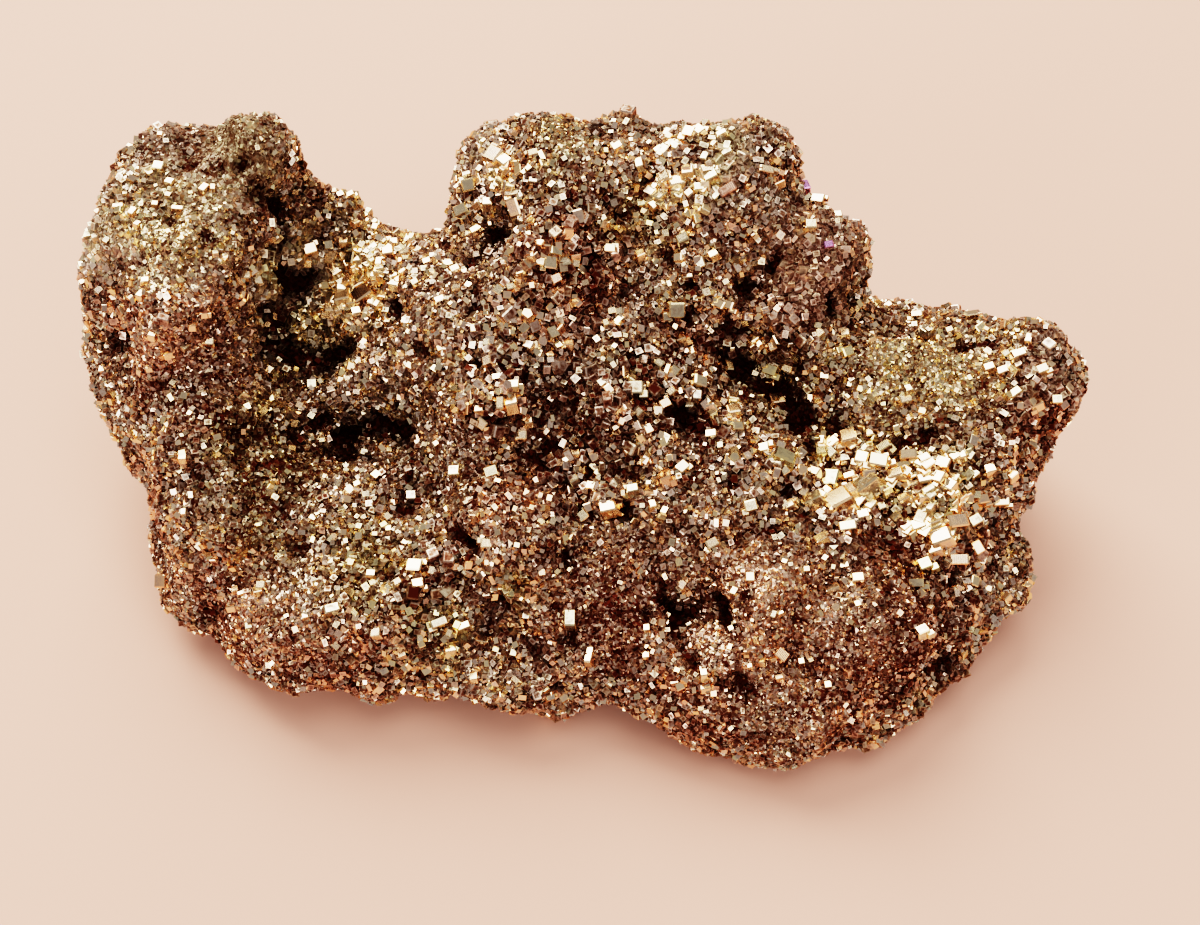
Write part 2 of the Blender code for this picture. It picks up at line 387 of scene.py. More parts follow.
print(sum(map(len, PITS.values())), "pits,", len(CRACKS), "cracks,", len(BULGES), "bulges")

# %% Knobs and hollows
NOISE_SEED = 5
KNOBS = ((3.0 * MM, 0.75 * MM), (1.4 * MM, 0.36 * MM))    # size and swing of each kind
KNOB_TOP, KNOB_FALL = 0.45, 1.5                           # a knob's top, and how it falls off
SWELLS = ((6.0 * MM, 0.8 * MM), (0.9 * MM, 0.20 * MM))
RAGGED_SIZE = 1.4 * MM
RAGGED_REACH = 0.8 * MM
CRACK_REACH = 0.35 * MM       # cracks keep closer to their line than pits to their round
FULL_DEPTH = 0.6              # a hollow is at full depth out to this share of its half width
WALL = 0.7                    # and its wall ends this much further out
NARROW, WIDE = 0.7, 1.3       # half widths, mm: nothing grows in a narrow hollow
BARE_DEPTH = 1.6              # mm: a narrow hollow as deep as this is quite bare


def numbers(items, name, kind, width=1):
    """One property of many items as an array."""
    found = np.empty(len(items) * width, kind)
    items.foreach_get(name, found)
    return found.reshape(-1, width) if width > 1 else found


def vertex_places(mesh):
    """Every vertex's place."""
    return numbers(mesh.vertices, "co", np.float32, 3)


def vertex_normals(mesh):
    """Every vertex's normal."""
    return numbers(mesh.vertex_normals, "vector", np.float32, 3)


def ragged(places, size, reach):
    """Places moved a little by noise, so that shapes drawn with them get ragged edges."""
    moved = [noise.noise_vector(Vector(place) / size) for place in places]
    return places + reach * np.array(moved, np.float32)


def knob_height(places):
    """Round knobs with creases between them, of each size, and soft swells."""
    total = np.zeros(len(places), np.float32)
    for size, swing in KNOBS:
        nearest = np.array([noise.voronoi(Vector(place) / size)[0][0] for place in places])
        total += swing * (KNOB_TOP - KNOB_FALL * nearest ** 2)
    for size, swing in SWELLS:
        total += swing * np.array([noise.noise(Vector(place) / size) for place in places])
    return total


def distance_to_chain(places, points):
    """How far each place is from a chain of straight stretches."""
    best = np.full(len(places), np.inf)
    for start, end in zip(points, points[1:]):
        along = end - start
        share = np.clip((places - start) @ along / (along @ along), 0, 1)
        nearest = start + share[:, None] * along
        best = np.minimum(best, np.linalg.norm(places - nearest, axis=1))
    return best


def hollow_depth(for_pits, for_cracks):
    """How far the pits and cracks go in at each place, and how bare the narrow ones are."""
    # a pit is a chain of hardly any length
    hollows = [(for_pits, ((x, y), (x, y + 1)), width, deep)
               for pits in PITS.values() for x, y, width, deep in pits]
    hollows += [(for_cracks, *crack) for crack in CRACKS.values()]
    depth, bare = np.zeros(len(for_pits)), np.zeros(len(for_pits))
    for places, chain, width, deep in hollows:
        points = [np.array(seen_at(tree, x, y)[0]) for x, y in chain]
        distance = distance_to_chain(places, points) / (width * MM)
        share = np.clip((FULL_DEPTH + WALL - distance) / WALL, 0, 1)
        depth = np.maximum(depth, deep * MM * share)
        narrow = min(max((WIDE - width) / (WIDE - NARROW), 0), 1)
        bare = np.maximum(bare, share * narrow * min(deep / BARE_DEPTH, 1))
    return depth, bare


# %% Bulges, and moving the surface
def bulge_height(places):
    """How far the rim stands out or lies back at each place."""
    height = np.zeros(len(places))
    for x, y, width, out in BULGES:
        distance = np.linalg.norm(places - np.array(seen_at(tree, x, y)[0]), axis=1)
        height += out * MM * np.exp(-(distance / (width * MM)) ** 2)
    return height


def carried(values, before, after):
    """The values of the nearest earlier points, for a mesh that has been rebuilt."""
    known = KDTree(len(before))
    for index, place in enumerate(before):
        known.insert(place, index)
    known.balance()
    return values[[known.find(place)[1] for place in after]]


def push(mesh, places, distances):
    """Move the vertices along their normals, never below the floor."""
    moved = places + vertex_normals(mesh) * distances[:, None]
    moved[:, 2] = np.maximum(moved[:, 2], 0)
    mesh.vertices.foreach_set("co", moved.astype(np.float32).ravel())
    mesh.update()


# %% Shape the mass
noise.seed_set(NOISE_SEED)    # without it every run has noise of its own
places = vertex_places(mass.data)
warped = ragged(places, RAGGED_SIZE, RAGGED_REACH)
depth, bare = hollow_depth(warped, ragged(places, RAGGED_SIZE, CRACK_REACH))
push(mass.data, places, knob_height(warped) + bulge_height(places) - SKIN_INSET - depth)
pushed = vertex_places(mass.data)
even_quads(mass, MASS_GRID)
bare = carried(bare, pushed, vertex_places(mass.data))
print("mass:", len(mass.data.polygons), "quads after the pits")

# %% [markdown]
# ## Where each kind of crust lies
#
# The crust isn't the same all over. Some faces are as fine as sand, others carry blocky
# cubes, and tarnish colours it olive in the recesses and reddish brown low down. Each kind
# is a set of named places, again points of the view, each with a reach in millimetres. A
# mask fades from 1 at the place to 0 at the reach, in all directions, so a zone runs on
# round the side. Noise on the distances makes its edge ragged. The sides that the view
# doesn't reach, the back and the underside, get the same kinds in patches of noise.

# %% Zones
ZONES = {
    "sandy": {
        "tower_top": (215, 140, 9), "tower_middle": (165, 240, 8), "tower_belly": (180, 360, 8),
        "hollow": (265, 500, 7), "left_front": (250, 620, 9), "left_corner": (160, 580, 6),
        "left_of_centre": (450, 445, 5), "centre_front": (600, 560, 6),
        "front_middle": (600, 625, 7), "lower_right": (760, 620, 9),
        "lower_right_end": (890, 630, 9), "front_lip": (790, 710, 9),
        "wing_face": (940, 370, 7), "wing_left": (880, 345, 5), "crown_top": (560, 130, 4),
    },
    "blocky": {
        "band_left": (780, 465, 4), "band_middle": (850, 480, 6), "band_right": (930, 500, 6),
        "wing_end": (1040, 390, 5.5), "saddle": (355, 280, 5.5), "crown_left": (500, 190, 5),
        "crown_foot": (560, 245, 6), "centre_left": (490, 400, 5), "centre": (580, 470, 5),
        "centre_right": (650, 400, 7), "below_step": (720, 400, 5), "apron": (430, 580, 5),
        "centre_top": (540, 330, 7), "right_end": (975, 550, 5), "crown_right": (690, 170, 6),
        "step": (780, 320, 6),
    },
    "olive": {
        "groove": (290, 250, 5), "recess": (300, 335, 6), "hollow": (265, 450, 8),
        "hollow_front": (360, 560, 6), "crown_dip": (640, 215, 4.5), "crown_right": (715, 145, 4),
        "crown_peak": (560, 130, 5), "band": (840, 445, 4.5), "tower_top": (230, 150, 7),
        "front_middle": (500, 590, 4), "step_pit": (775, 385, 4.5), "wing": (925, 350, 10),
        "left_front": (250, 540, 5), "front": (430, 640, 5), "tower_middle": (160, 215, 8),
        "saddle": (345, 265, 5), "band_right": (930, 480, 6),
    },
    "rusty": {
        "tower_belly": (180, 350, 8), "tower_left": (115, 340, 7), "left_rim": (140, 510, 6),
        "centre_top": (570, 290, 6), "shoulder": (810, 270, 8), "lower_right": (750, 620, 11),
        "lower_right_end": (910, 630, 10), "centre_low": (610, 600, 9),
        "left_front": (230, 620, 9), "wing_end": (1055, 430, 7), "crown_left": (500, 165, 3),
        "crown_middle": (545, 245, 5), "band_foot": (905, 555, 6), "centre_right": (690, 330, 4),
        "lip": (700, 720, 8), "lip_right": (860, 700, 8), "front_left": (330, 670, 7),
        "centre": (500, 500, 6),
    },
    # ground made fresher and lighter where the light falls on it: a painted light, partly fresh
    # pyrite
    "bright": {
        "lower_right": (775, 610, 9), "lower_front": (700, 650, 4),
        "tower_middle": (165, 245, 8), "tower_middle_left": (110, 245, 7),
        "saddle": (355, 275, 10), "tower_low": (180, 330, 8),
        "band": (850, 480, 5), "band_right": (930, 500, 5.5), "wing_face": (930, 360, 9),
        "crown_left": (490, 180, 5), "crown_right": (690, 165, 4.5), "left_front": (260, 600, 6),
    },
    # patches made darker and duller
    "grimy": {
        "tower_top": (205, 120, 8), "shoulder": (825, 280, 8), "centre": (560, 415, 8),
        "centre_right": (690, 400, 7), "step": (775, 378, 6), "hollow": (270, 470, 6),
        "wing_end": (1065, 400, 9), "band": (865, 490, 10), "lower_right_end": (940, 650, 9),
        "apron": (430, 565, 4),
        "centre_low": (600, 610, 6), "tower_belly": (215, 390, 6),
    },
    "matte": {
        "tower_top": (205, 135, 9), "tower_left": (95, 240, 5), "groove": (290, 265, 6),
        "crown_right": (725, 150, 6), "crown_left": (475, 150, 4), "shoulder": (815, 260, 8),
        "wing_end": (1060, 375, 6),
    },
    "violet": {"step_edge": (803, 190, 1.5), "step": (826, 246, 1.3)},
}
BEHIND = {                     # how much of the unseen ground each kind covers, about
    "sandy": 0.40, "blocky": 0.35, "olive": 0.25, "rusty": 0.35, "grimy": 0.35, "matte": 0.3,
}
print("zones:", {kind: len(zones) for kind, zones in ZONES.items()})

# %% From zones to masks
ZONE_NOISE_SIZE = 3.5 * MM
ZONE_NOISE_REACH = 3.0 * MM
PATCH_SIZE = 9 * MM           # of the patches on the unseen sides
PATCH_EDGE = 0.12             # of the noise's swing, over which a patch fades in
FADE = 1.3                    # how steeply a zone fades towards its reach


def zone_mask(places, zones):
    """1 in the middle of any zone, 0 beyond its reach."""
    best = np.zeros(len(places), np.float32)
    for x, y, reach in zones.values():
        centre = np.array(seen_at(tree, x, y)[0])
        distance = np.linalg.norm(places - centre, axis=1)
        nearness = np.clip(FADE * (1 - distance / (reach * MM)), 0, 1)
        best = np.maximum(best, nearness * nearness * (3 - 2 * nearness))
    return best


def patches(places, cover, shift):
    """Soft patches that cover about a share of the ground."""
    found = np.array([noise.noise(Vector(place) / PATCH_SIZE + Vector((shift, 0, 0)))
                      for place in places], np.float32)
    edge = np.quantile(found, 1 - cover)
    return np.clip((found - edge) / PATCH_EDGE + 0.5, 0, 1)


def store(mesh, name, values):
    """Keep a value per vertex on the mesh."""
    layer = mesh.attributes.new(name, "FLOAT", "POINT")
    layer.data.foreach_set("value", np.asarray(values, np.float32))


def crevice_depth(mesh, places, rounds):
    """How far each vertex lies below its surroundings, smoothed by so many rounds."""
    first, second = numbers(mesh.edges, "vertices", np.int32, 2).T
    size = len(places)
    count = np.bincount(first, minlength=size) + np.bincount(second, minlength=size)
    smooth = places.astype(np.float64)
    for _ in range(rounds):
        total = np.stack([np.bincount(first, smooth[second, axis], size)
                          + np.bincount(second, smooth[first, axis], size)
                          for axis in range(3)], 1)
        smooth = 0.5 * smooth + 0.5 * total / np.maximum(count, 1)[:, None]
    return ((smooth - places) * vertex_normals(mesh)).sum(1)


# %% Draw the masks on the mass
CREVICE_ROUNDS = 40
CREVICE_DEPTH = 0.8 * MM      # this far below its surroundings, a place gets its full painted shade and grime
CREVICE_RANGE = (-1, 1.5)
SEEN_SIDE = np.array((0.0, -0.55, 0.83))
TURNED_AWAY, TURN_FADE = 0.35, 0.3    # ground facing this far from the seen side is unseen
PATCH_SHIFT = 20              # patch sizes between one kind's noise and the next one's

places = vertex_places(mass.data)
blurred = ragged(places, ZONE_NOISE_SIZE, ZONE_NOISE_REACH)
masks = {name: zone_mask(places if name == "violet" else blurred, zones)
         for name, zones in ZONES.items()}
facing = vertex_normals(mass.data) @ SEEN_SIDE
seen = np.clip((facing + TURNED_AWAY) / TURN_FADE, 0, 1)
for shift, (name, cover) in enumerate(BEHIND.items()):
    unseen = (1 - seen) * patches(blurred, cover, PATCH_SHIFT * shift)
    masks[name] = np.maximum(masks[name], unseen)
# Bare pits and crevices also darken the finish later: painted shade, with some grime in the
# crevices.
masks["bare"] = bare
masks["crevice"] = np.clip(
    crevice_depth(mass.data, places, CREVICE_ROUNDS) / CREVICE_DEPTH, *CREVICE_RANGE)
for name, values in masks.items():
    store(mass.data, name, values)
    print(name, "covers", round(float((values > 0.5).mean()), 2), "of the mass")

# %% [markdown]
# ## Single crystals
#
# Pyrite grows as cubes, often a little longer one way, as cubes with worn edges, and as
# pyritohedra, twelve five-sided faces. The smallest grains show only a corner of their
# cube, so a corner is all that is made of them. Each form is made once, a unit across, and
# used thousands of times, so it has as few faces as the form allows. A UV square on each
# face will carry the fine parallel lines that real faces show.

# %% Crystal forms
EDGE_WEAR = 0.09              # of a cube's side
WORN_FACE = 0.15              # a face smaller than this is a worn edge or corner
TAPER = (0.72, 0.88)          # a wedge's top, as a share of its foot, each way
LEAN = 0.14                   # how far a wedge's top leans over
PYRITOHEDRON_RISE = 0.5       # the form whose faces carry the index 210
CORNER_SUNK = 0.6             # the share of a corner's height that lies below its middle
SHARD_ASIDE = 0.38            # how far a shard's tip stands to one side
FLAT_ANGLE = 0.02             # faces closer to parallel than this, in radians, are one face
FORMS = {}


def face_squares(builder):
    """Give every face its own square of the facet map, and worn edges a spot on its rim, where the
    painted highlight is strongest.
    """
    facet = builder.loops.layers.uv.new("facet")
    for face in builder.faces:
        middle = face.calc_center_median()
        side = (face.verts[1].co - face.verts[0].co).normalized()
        up = face.normal.cross(side)
        worn = face.calc_area() < WORN_FACE
        for loop in face.loops:
            arm = loop.vert.co - middle
            loop[facet].uv = (1, 1) if worn else (arm.dot(side) + 0.5, arm.dot(up) + 0.5)


def finish_form(name, builder):
    """Keep a form for the crusts to grow from."""
    bmesh.ops.recalc_face_normals(builder, faces=builder.faces)
    face_squares(builder)
    mesh = finished(builder, name)
    FORMS[name] = bpy.data.objects.new(name, mesh)
    print(name, len(mesh.polygons), "faces")


# %% Cubes and corners
def skewed(place, taper, lean):
    """A place on a unit cube after its top is narrowed and leant over. Flat faces stay flat."""
    x_share, y_share = (1 + (share - 1) * (place.z + 0.5) for share in taper)
    return Vector((place.x * x_share + lean * place.z, place.y * y_share, place.z))


def cube_form(name, sides, wear=0.0, taper=(1, 1), lean=0.0):
    """A cube, block or wedge, with worn edges where wear is over zero."""
    builder = bmesh.new()
    bmesh.ops.create_cube(builder, size=1.0, matrix=Matrix.Diagonal((*sides, 1.0)))
    for vertex in builder.verts:
        vertex.co = skewed(vertex.co, taper, lean)
    if wear:
        bmesh.ops.bevel(builder, geom=builder.edges, offset=wear, segments=1,
                        affect="EDGES", profile=0.5)
    finish_form(name, builder)


def corner_form(name, aside):
    """The corner of a cube, pointing up, or a shard if its tip stands aside."""
    builder = bmesh.new()
    reach, drop = math.sqrt(2 / 3), 1 / math.sqrt(3)
    base = [builder.verts.new((reach * math.cos(turn), reach * math.sin(turn), -drop * CORNER_SUNK))
            for turn in (0, math.tau / 3, 2 * math.tau / 3)]
    tip = builder.verts.new((aside, 0, drop * (1 - CORNER_SUNK)))
    builder.faces.new(base)
    for index in range(3):
        builder.faces.new((base[index], base[(index + 1) % 3], tip))
    finish_form(name, builder)


# %% The pyritohedron
def pyritohedron_form(name):
    """Twelve five-sided faces round three crossed roof edges."""
    builder = bmesh.new()
    corner, rise = 0.5, PYRITOHEDRON_RISE
    far, low = corner * (1 + rise), corner * (1 - rise ** 2)
    for signs in [(a, b, c) for a in (-1, 1) for b in (-1, 1) for c in (-1, 1)]:
        builder.verts.new([corner * sign for sign in signs])
    for first in (-1, 1):
        for second in (-1, 1):
            builder.verts.new((0, first * far, second * low))
            builder.verts.new((first * far, second * low, 0))
            builder.verts.new((second * low, 0, first * far))
    bmesh.ops.convex_hull(builder, input=builder.verts)
    bmesh.ops.dissolve_limit(builder, angle_limit=FLAT_ANGLE, verts=builder.verts,
                             edges=builder.edges)
    finish_form(name, builder)


# %% Make every form
corner_form("corner", 0.0)
corner_form("shard", SHARD_ASIDE)
cube_form("cube", (1.0, 1.0, 1.0))
cube_form("wedge", (1.1, 0.95, 0.9), taper=TAPER, lean=LEAN)
cube_form("worn_cube", (1.0, 1.0, 1.0), EDGE_WEAR)
cube_form("worn_wedge", (1.1, 0.95, 0.95), EDGE_WEAR, TAPER, LEAN)
cube_form("worn_block", (1.35, 0.95, 0.8), EDGE_WEAR)
pyritohedron_form("pyritohedron")

# %% [markdown]
# ## The pyrite finish
#
# Pyrite is a metal to the eye: pale brass yellow and mirror bright on a fresh face, browner
# and duller where it has tarnished, near black in crevices and narrow pits, where the colour
# carries painted shade as well as grime. One number, how fresh a spot is, runs a scale of
# colours and the roughness with it. Each crystal brings its own number, `tone`, and the zones
# and the crevices shift it; ground where the light falls is made fresher, a painted light.
# The larger crystals also carry stains and a pale rim on each face, a painted highlight. On
# the mass the number comes from small cells instead, each tilted its own way, so that it glitters
# too.

# %% Colours and numbers of the finish
AGEING = (                    # from near black, the colour of painted shade and grime, through rust and tan to a fresh face
    (0.00, (0.050, 0.006, 0.002, 1)),
    (0.20, (0.160, 0.086, 0.057, 1)),
    (0.42, (0.410, 0.338, 0.300, 1)),
    (0.68, (0.708, 0.598, 0.505, 1)),
    (1.00, (0.950, 0.735, 0.510, 1)),
)
EDGE_TINT = (1.00, 0.72, 0.52, 1)       # what a face reflects when seen edge on
TINTS = {                     # a tint for a zone's ground, and how far it goes
    "rusty": ((1.00, 0.81, 0.76, 1), 0.68),
    "olive": ((0.93, 1.00, 0.66, 1), 0.45),
}
VIOLET_TINT = (0.55, 0.38, 1.00, 1)
WARM_GRAIN, WARM_FROM = (1.00, 0.93, 0.91, 1), 0.6     # some crystals are warmer than others
COOL_GRAIN, COOL_TO = (0.97, 1.00, 0.88, 1), 0.3
KINDS = 61.7                  # times the tone, for a draw of its own for warm and cool
CELL_SIZE = 0.26 * MM
CELL_TILT = 1.6
BLOTCH_SIZE, BLOTCH_SWING = 2.2 * MM, 0.9
STAIN_SIZE, STAIN_SWING = 0.30 * MM, 0.8
GRAIN_SIZE = 0.10 * MM
TONE_CURVE, TONE_SWING = 1.5, 0.85                     # few crystals are quite fresh
FRESH_BASE = 0.24             # how fresh the dullest tone is
# how much fresher bright ground is, a painted light, and how much less fresh the rusty ground and
# the darker, duller patches are
BRIGHT_LIT_GAIN, RUSTY_LOSS, DULLED_LOSS = 0.15, 0.05, 0.15
# how much the finish is darkened in crevices and in bare narrow pits: painted shade, with some
# grime in the crevices
CREVICE_SHADE_LOSS, BARE_SHADE_LOSS = 0.62, 0.75
CREVICE_FADE = (0.08, 0.95)   # the crevice values between which painted shade and grime come in
MATTE_TONE, MATTE_PULL = 0.42, 0.5                     # what matte ground comes halfway to
MATTE_ROUGHNESS = 0.22
HIGHLIGHT_RIM_FADE, INSIDE_HIGHLIGHT_RIM = (0.25, 0.45), -0.06             # a painted highlight, from a face's middle to its rim
METALLIC = (0.10, 0.50, 0.80, 1.0)                     # two freshnesses and the value at each
ROUGHNESS = (0.10, 0.75, 0.55, 0.16)
LINES = 9                     # growth lines across a unit of crystal
LINE_HEIGHT, LINE_WAVER = 0.10, 9
BUMP_STRENGTH, BUMP_HEIGHT = 0.3, 0.02 * MM
ROUGH_GRAIN, FINE_GRAIN = 0.5, 0.2                     # grain of plain faces and lined ones


# %% The finish as a material
def pyrite(name, cells=False, lines=0, rim_highlight=0.0, dullness=0.0, ground=0.0):
    """A tarnished pyrite surface, of tilted cells or of whole crystals with growth lines."""
    material = bpy.data.materials.new(name)
    material.use_nodes = True
    tree = material.node_tree
    tree.nodes.clear()
    make = Maker(tree)
    place = make.node("ShaderNodeTexCoord").outputs["Object"]
    normal = make.node("ShaderNodeNewGeometry").outputs["Normal"]

    def mottle(size, detail=2.0):
        return make.signal("ShaderNodeTexNoise", 0, None,
                           {"Vector": place, "Scale": 1 / size, "Detail": detail})

    if cells:
        cell = make.node("ShaderNodeTexVoronoi", None,
                         {"Vector": place, "Scale": 1 / CELL_SIZE, "Randomness": 1.0})
        parts = make.node("ShaderNodeSeparateXYZ", None, {0: cell.outputs["Color"]})
        tone = Signal(make, parts.outputs["X"])
        tilt = make.vector("SUBTRACT", cell.outputs["Color"], (0.5, 0.5, 0.5))
        tilt = make.vector("SCALE", tilt, Scale=CELL_TILT)
        normal = make.vector("NORMALIZE", make.vector("ADD", tilt, normal))
    else:
        tone = make.attribute("tone")

    blotch = mottle(BLOTCH_SIZE, detail=3.0)
    fresh = (tone ** TONE_CURVE * TONE_SWING + (blotch - 0.5) * BLOTCH_SWING + FRESH_BASE
             - dullness + make.attribute("bright") * BRIGHT_LIT_GAIN
             - make.attribute("rusty") * RUSTY_LOSS - make.attribute("grimy") * DULLED_LOSS
             - make.attribute("blocky") * ground)
    matte = make.attribute("matte")
    fresh = fresh + matte * MATTE_PULL * (MATTE_TONE - fresh)
    # a painted highlight: each face lighter towards its rim and a little darker in its middle
    if rim_highlight:
        facet = make.node("ShaderNodeSeparateXYZ", None,
                          {0: make.node("ShaderNodeUVMap", {"uv_map": "facet"}).outputs[0]})
        outward = make.maths("MAXIMUM", *(
            make.maths("ABSOLUTE", Signal(make, facet.outputs[axis]) - 0.5) for axis in "XY"))
        fresh = (fresh + (mottle(STAIN_SIZE) - 0.5) * STAIN_SWING
                 + make.ramp(outward, *HIGHLIGHT_RIM_FADE, INSIDE_HIGHLIGHT_RIM, rim_highlight))
    # painted shade: darker where a spot lies below its surroundings, and darker still in bare
    # narrow pits
    fresh = fresh - make.ramp(make.attribute("crevice"), *CREVICE_FADE) * CREVICE_SHADE_LOSS
    fresh = make.limit(fresh - make.attribute("bare") * BARE_SHADE_LOSS)
    kind = make.maths("FRACT", tone * KINDS)
    colour = make.tinted(make.scale(AGEING, fresh), WARM_GRAIN, kind > WARM_FROM)
    colour = make.tinted(colour, COOL_GRAIN, 1 - (kind > COOL_TO))
    for zone, (tint, share) in TINTS.items():
        colour = make.tinted(colour, tint, make.attribute(zone) * share)
    colour = make.tinted(colour, VIOLET_TINT, make.attribute("violet"))

    height = mottle(GRAIN_SIZE) * (FINE_GRAIN if lines else ROUGH_GRAIN)
    if lines:
        turns = Signal(make, facet.outputs["X"]) * (lines * math.tau) + blotch * LINE_WAVER
        height = height + make.maths("SINE", turns) * LINE_HEIGHT
    bump = make.node("ShaderNodeBump", None,
                     {"Height": height, "Strength": BUMP_STRENGTH, "Distance": BUMP_HEIGHT,
                      "Normal": normal})
    roughness = make.ramp(fresh, *ROUGHNESS) + matte * MATTE_ROUGHNESS
    shader = make.node("ShaderNodeBsdfPrincipled", None,
                       {"Base Color": colour, "Metallic": make.ramp(fresh, *METALLIC),
                        "Roughness": roughness, "Specular Tint": EDGE_TINT,
                        "Normal": bump.outputs[0]})
    make.node("ShaderNodeOutputMaterial", None, {"Surface": shader.outputs[0]})
    return material


# %% Four materials
# the rim setting is how much fresher a face's rim is, a painted highlight; dullness how much
# less fresh all of it is, and ground how much less fresh it is where the crust is blocky
MASS = pyrite("pyrite_mass", cells=True, dullness=0.26, ground=0.26)
GRAINS = pyrite("pyrite_grains", dullness=0.09, ground=0.21)
SMALL_CUBES = pyrite("pyrite_small_cubes", rim_highlight=0.16, dullness=0.05, ground=0.08)
CUBES = pyrite("pyrite_cubes", lines=LINES, rim_highlight=0.18, dullness=0.03)
mass.data.materials.clear()
mass.data.materials.append(MASS)
print("materials:", [material.name for material in (MASS, GRAINS, SMALL_CUBES, CUBES)])

# %% [markdown]
# ## Growing the crust
#
# Geometry Nodes scatter the forms over the mass. Distribute Points on Faces in Poisson mode
# keeps neighbours a set distance apart, which gives an even crust with no bare patches, and
# a mask on the mesh says where this crust grows. Every crystal gets its own turn, its own
# proportions and its `tone`. Where a crystal would reach through the floor, none grows.

# %% The tree that grows a crust
CRUST_INPUTS = {
    "Form": "NodeSocketObject", "Share": "NodeSocketInt", "Shares": "NodeSocketInt",
    "Where": "NodeSocketString", "Material": "NodeSocketMaterial", "Spacing": "NodeSocketFloat",
    "Size": "NodeSocketFloat", "Spread": "NodeSocketFloat", "Uneven": "NodeSocketFloat",
    "Tilt": "NodeSocketFloat", "Seed": "NodeSocketInt",
}
CROWDING = 3.0                # points tried per square of the spacing, to leave no gap
FLOOR_CLEARANCE = 0.95        # of a crystal's size, from its middle to the floor
TILT_SEED, SPIN_SEED, SHAPE_SEED, TONE_SEED = 3, 4, 5, 7


def crust_tree():
    """Scatter one kind of crystal over a mesh."""
    tree = bpy.data.node_groups.new("crystal crust", "GeometryNodeTree")
    tree.interface.new_socket("Geometry", in_out="INPUT", socket_type="NodeSocketGeometry")
    for name, kind in CRUST_INPUTS.items():
        tree.interface.new_socket(name, in_out="INPUT", socket_type=kind)
    tree.interface.new_socket("Geometry", in_out="OUTPUT", socket_type="NodeSocketGeometry")

    make = Maker(tree)
    given = make.node("NodeGroupInput").outputs
    spacing, size, spread, uneven, tilt = (
        Signal(make, given[name]) for name in ("Spacing", "Size", "Spread", "Uneven", "Tilt"))

    def carried_value(name):
        return make.signal("GeometryNodeInputNamedAttribute", "Attribute",
                           {"data_type": "FLOAT"}, {"Name": name})

    def random_number(low, high, seed):
        return make.signal("FunctionNodeRandomValue", 1, {"data_type": "FLOAT"},
                           {2: low, 3: high, "Seed": seed})

    def vector_of(*values):
        return make.node("ShaderNodeCombineXYZ", None, dict(enumerate(values))).outputs[0]

    def random_vector(low, high, seed):
        return make.node("FunctionNodeRandomValue", {"data_type": "FLOAT_VECTOR"},
                         {0: vector_of(low, low, low), 1: vector_of(high, high, high),
                          "Seed": seed}).outputs[0]

    def turned(rotation, angles):
        by = make.node("FunctionNodeEulerToRotation", None, {0: angles}).outputs[0]
        return make.node("FunctionNodeRotateRotation", {"rotation_space": "LOCAL"},
                         {0: rotation, 1: by}).outputs[0]

    scatter = make.node("GeometryNodeDistributePointsOnFaces",
                        {"distribute_method": "POISSON"},
                        {"Mesh": given["Geometry"], "Distance Min": spacing,
                         "Density Max": CROWDING / (spacing * spacing),
                         "Density Factor": carried_value(given["Where"]),
                         "Seed": given["Seed"]})
    own_size = random_number(size * (1 - spread), size * (1 + spread), given["Seed"])
    own_size = own_size * carried_value("coarse")
    place = make.node("GeometryNodeInputPosition").outputs[0]
    height = make.signal("ShaderNodeSeparateXYZ", "Z", None, {0: place})
    clear = height > own_size * FLOOR_CLEARANCE
    index = make.node("GeometryNodeInputIndex").outputs[0]
    turn_of = make.maths("FLOORED_MODULO", index, given["Shares"])
    mine = make.maths("COMPARE", turn_of, given["Share"], 0.5)
    kept = make.node("GeometryNodeSeparateGeometry", {"domain": "POINT"},
                     {"Geometry": scatter.outputs["Points"], "Selection": clear * mine})

    spun = turned(scatter.outputs["Rotation"],
                  vector_of(0.0, 0.0, random_number(0.0, math.tau, SPIN_SEED)))
    tilted = turned(spun, random_vector(tilt * -1, tilt, TILT_SEED))
    scale = make.vector("SCALE", random_vector(1 - uneven, 1 + uneven, SHAPE_SEED),
                        Scale=own_size)
    form = make.node("GeometryNodeObjectInfo", None, {"Object": given["Form"]})
    grown = make.node("GeometryNodeInstanceOnPoints", None,
                      {"Points": kept.outputs["Selection"],
                       "Instance": form.outputs["Geometry"],
                       "Rotation": tilted, "Scale": scale})
    toned = make.node("GeometryNodeStoreNamedAttribute",
                      {"data_type": "FLOAT", "domain": "INSTANCE"},
                      {"Geometry": grown.outputs[0], "Name": "tone",
                       "Value": random_number(0.0, 1.0, TONE_SEED)})
    real = make.node("GeometryNodeRealizeInstances", None, {"Geometry": toned.outputs[0]})
    clad = make.node("GeometryNodeSetMaterial", None,
                     {"Geometry": real.outputs[0], "Material": given["Material"]})
    make.node("NodeGroupOutput", None, {"Geometry": clad.outputs[0]})
    return tree


CRUST = crust_tree()
print("the crust's tree has", len(CRUST.nodes), "nodes")


# %% One crust
def triangle_count(mesh):
    """How many triangles a mesh makes."""
    return sum(len(face.vertices) - 2 for face in mesh.polygons)


def grow(name, form, share, shares, where, material, spacing, size, *others):
    """One crust, or one share of it, as a plain mesh object of its own."""
    crust = new_object(name, mass.data)
    modifier = crust.modifiers.new("crust", "NODES")
    modifier.node_group = CRUST
    values = dict(zip(CRUST_INPUTS, (FORMS[form], share, shares, where, material,
                                     spacing * MM, size * MM, *others)))
    for item in CRUST.interface.items_tree:
        if item.name in values:
            modifier[item.identifier] = values[item.name]
    plain_mesh(crust)
    print(name, triangle_count(crust.data), "triangles")
    return crust


